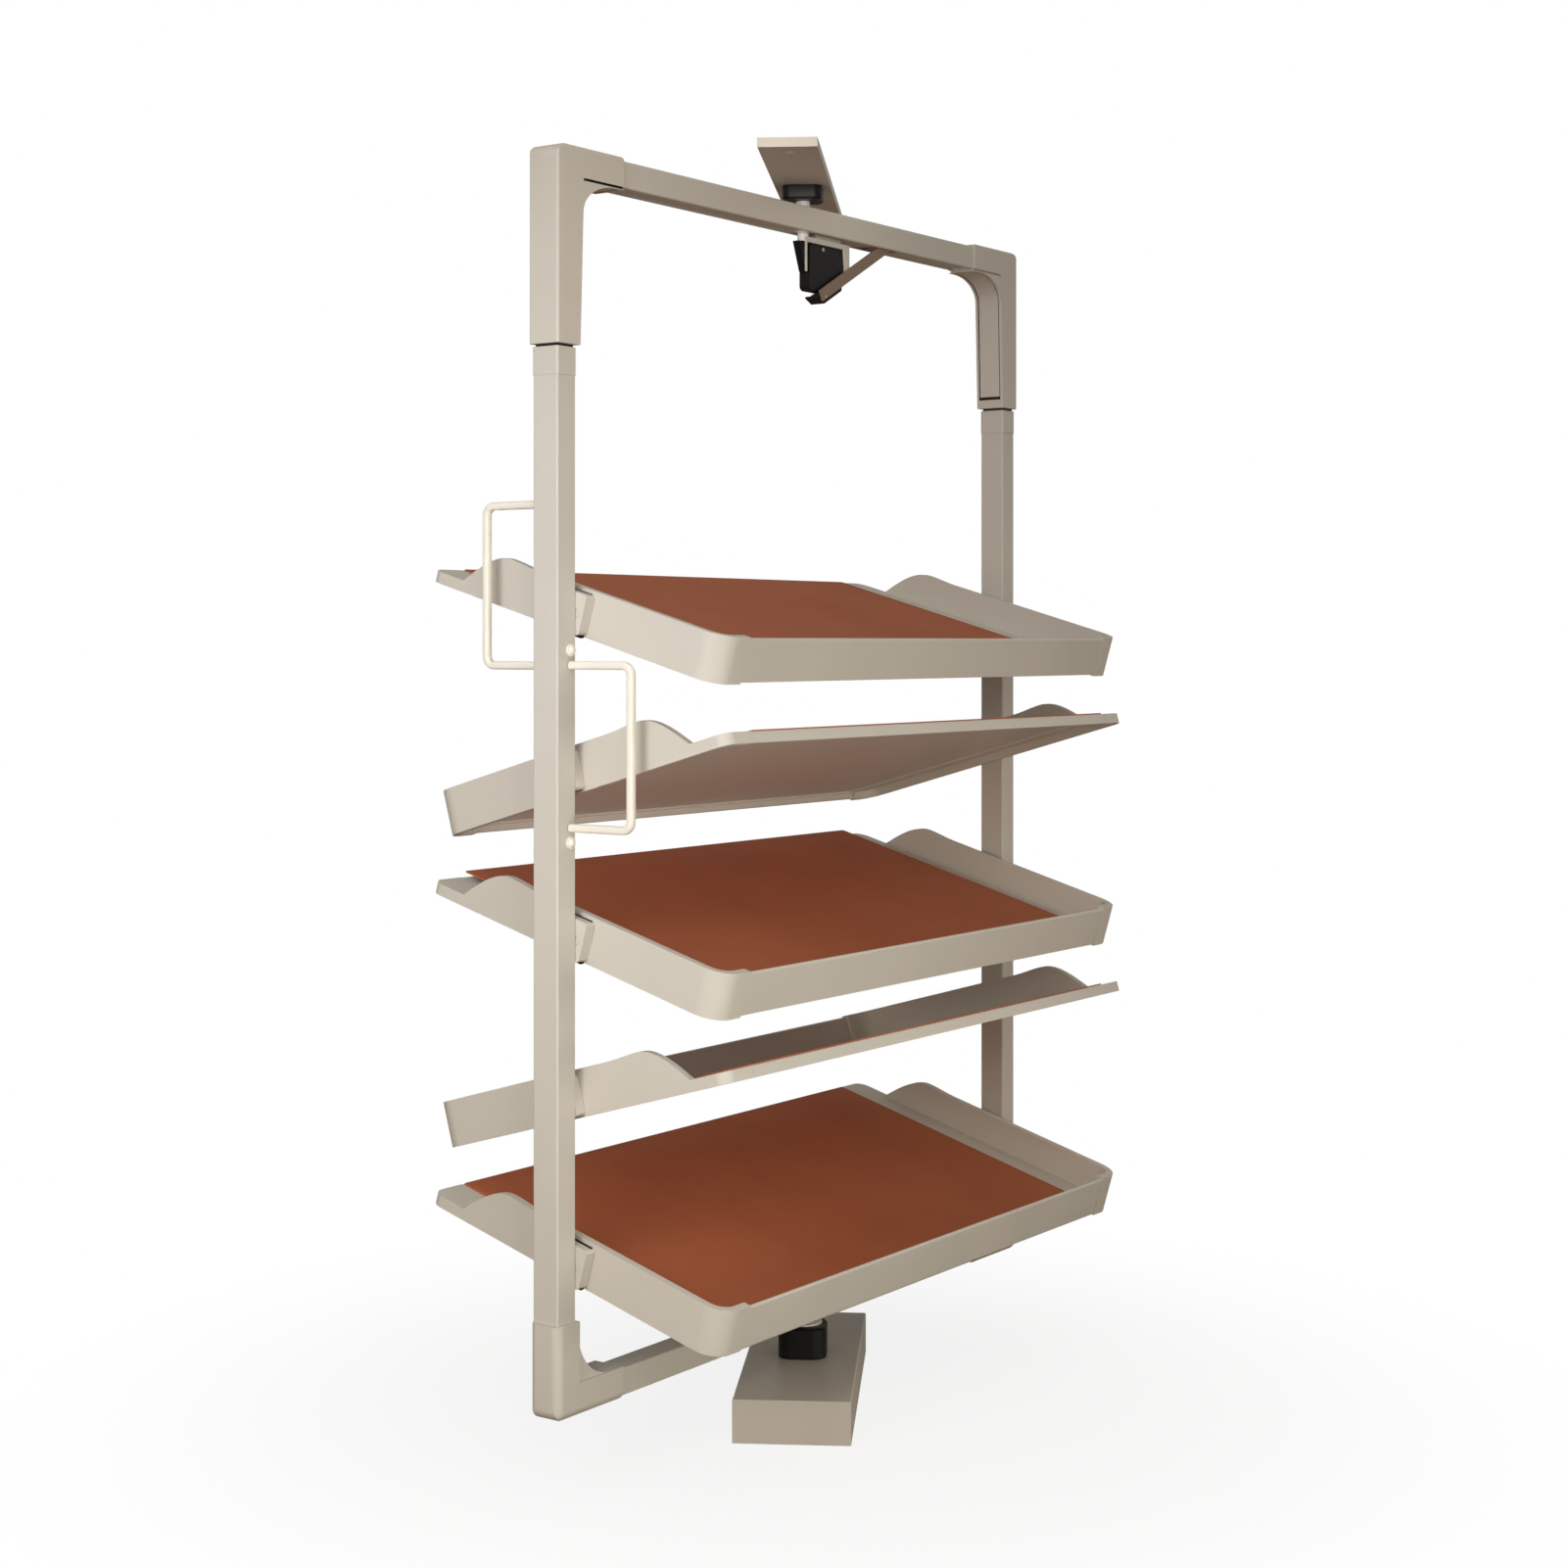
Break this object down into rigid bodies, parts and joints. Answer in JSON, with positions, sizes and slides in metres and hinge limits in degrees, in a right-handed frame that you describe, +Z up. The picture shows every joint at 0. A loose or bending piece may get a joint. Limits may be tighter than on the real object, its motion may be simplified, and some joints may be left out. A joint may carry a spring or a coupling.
{
  "type": "rotating shoe rack",
  "caption": "Shoe rack for a cabinet: an upright rectangular frame with tilted lipped trays, turning between a floor beam and a ceiling strip.",
  "frame": {"origin": "on the turning axis at floor level, at the bottom centre of the bounding box", "axes": "+Z up along the turning axis; X along the frame with the handles at -X; -Y is the side the top tray's front lip faces, which is the side seen in the picture"},
  "size_m": [0.899, 0.3884, 1.379],
  "materials": {
    "frame_paint": "satin champagne beige powder coat",
    "moulding": "satin champagne beige",
    "handle_paint": "satin cream",
    "leather": "brown, fine grain, soft sheen",
    "black_plastic": "satin black",
    "bush_plastic": "dark, smooth",
    "steel": "bright turned steel"
  },
  "bodies": {
    "fixed_mounting": {"floor_plate": "steel", "base_beam": "frame_paint", "lower_pivot_housing": "black_plastic", "lower_spindle": "steel", "thrust_washer": "steel", "ceiling_strip": "frame_paint", "upper_bearing_block": "black_plastic"},
    "turning_rack": {"upper_spindle": "steel", "upper_bush": "steel", "lower_bush": "bush_plastic", "left_post": "frame_paint", "right_post": "frame_paint", "top_bar": "frame_paint", "bottom_bar": "frame_paint", "top_left_corner": "moulding", "top_right_corner": "moulding", "bottom_left_corner": "moulding", "bottom_right_corner": "moulding", "left_corner_cover": "moulding", "right_corner_cover": "moulding", "left_collar": "frame_paint", "right_collar": "frame_paint", "rear_handle": "handle_paint", "front_handle": "handle_paint", "handle_screws": "steel", "pivot_case": "black_plastic", "case_bracket": "frame_paint", "case_stay": "frame_paint", "stay_clip": "black_plastic", "case_bolts": "steel", "left_tray_brackets": "frame_paint", "right_tray_brackets": "frame_paint", "bracket_pads": "black_plastic", "bracket_screws": "steel", "tray_screws": "steel", "tray_1_left_end": "moulding", "tray_1_right_end": "moulding", "tray_1_front_lip": "frame_paint", "tray_1_floor": "frame_paint", "tray_1_mat": "leather", "tray_2_left_end": "moulding", "tray_2_right_end": "moulding", "tray_2_front_lip": "frame_paint", "tray_2_floor": "frame_paint", "tray_2_mat": "leather", "tray_3_left_end": "moulding", "tray_3_right_end": "moulding", "tray_3_front_lip": "frame_paint", "tray_3_floor": "frame_paint", "tray_3_mat": "leather", "tray_4_left_end": "moulding", "tray_4_right_end": "moulding", "tray_4_front_lip": "frame_paint", "tray_4_floor": "frame_paint", "tray_4_mat": "leather", "tray_5_left_end": "moulding", "tray_5_right_end": "moulding", "tray_5_front_lip": "frame_paint", "tray_5_floor": "frame_paint", "tray_5_mat": "leather"}
  },
  "joints": [
    {"name": "rack_turn", "type": "hinge", "parent": "fixed_mounting", "child": "turning_rack", "pos_m": [0, 0, 0.085], "axis": [0, 0, 1], "continuous": true}
  ]
}
